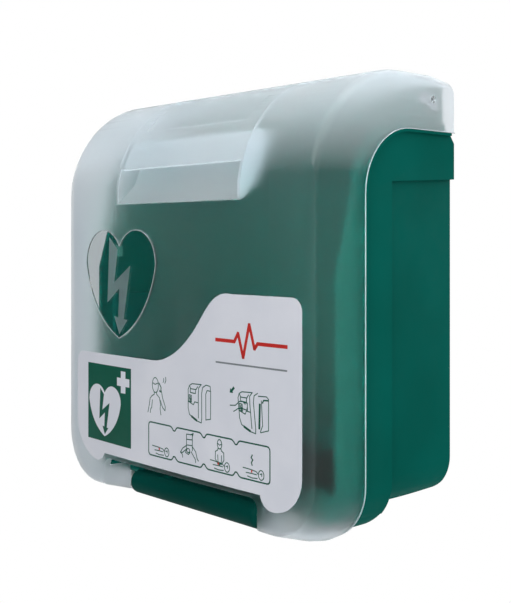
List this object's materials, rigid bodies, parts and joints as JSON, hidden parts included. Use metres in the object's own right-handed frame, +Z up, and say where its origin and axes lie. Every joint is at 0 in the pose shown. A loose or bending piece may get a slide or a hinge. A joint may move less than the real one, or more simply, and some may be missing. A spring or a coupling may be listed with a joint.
{
  "type": "defibrillator wall cabinet",
  "caption": "Wall-hung defibrillator cabinet: green moulded base, frosted domed cover with a heart window, tilting forward on a low hinge.",
  "frame": {"origin": "centre of the wall screw pattern, on the back plane", "axes": "+X to the right seen from the front, +Y into the wall, +Z up"},
  "size_m": [0.388, 0.2013, 0.4343],
  "materials": {
    "green_casing": "satin moulded",
    "frosted_cover": "frosted translucent",
    "clear_cover": "clear polished",
    "label": "printed vinyl",
    "steel": "bright",
    "nylon": "natural",
    "alarm_plastic": "fine texture",
    "circuit_board": "solder mask",
    "cell_sleeve": "gloss sleeve",
    "black_plastic": "satin",
    "pale_plastic": "satin"
  },
  "bodies": {
    "base": {"base_shell": "green_casing", "lower_bar": "green_casing", "hinge_arms": "green_casing", "device_tray": "green_casing", "hinge_arm_screws": "steel", "hinge_pins": "steel", "snap_clips": "steel", "snap_clip_screws": "steel", "device_tray_screws": "steel", "alarm_screws": "steel", "alarm_case": "alarm_plastic", "alarm_lid": "alarm_plastic", "alarm_board": "circuit_board", "alarm_cells": "cell_sleeve", "alarm_sounder": "black_plastic", "alarm_lens": "clear_cover", "reed_switch": "pale_plastic"},
    "cover": {"cover_shell": "frosted_cover", "handle_insert": "frosted_cover", "heart_window": "clear_cover", "cover_label": "label", "cover_magnet": "steel", "hinge_bushes": "nylon", "snap_studs": "clear_cover"}
  },
  "joints": [
    {"name": "cover_hinge", "type": "hinge", "parent": "base", "child": "cover", "pos_m": [0, -0.141, -0.224], "axis": [1, 0, 0], "range_deg": [0, 90]}
  ]
}
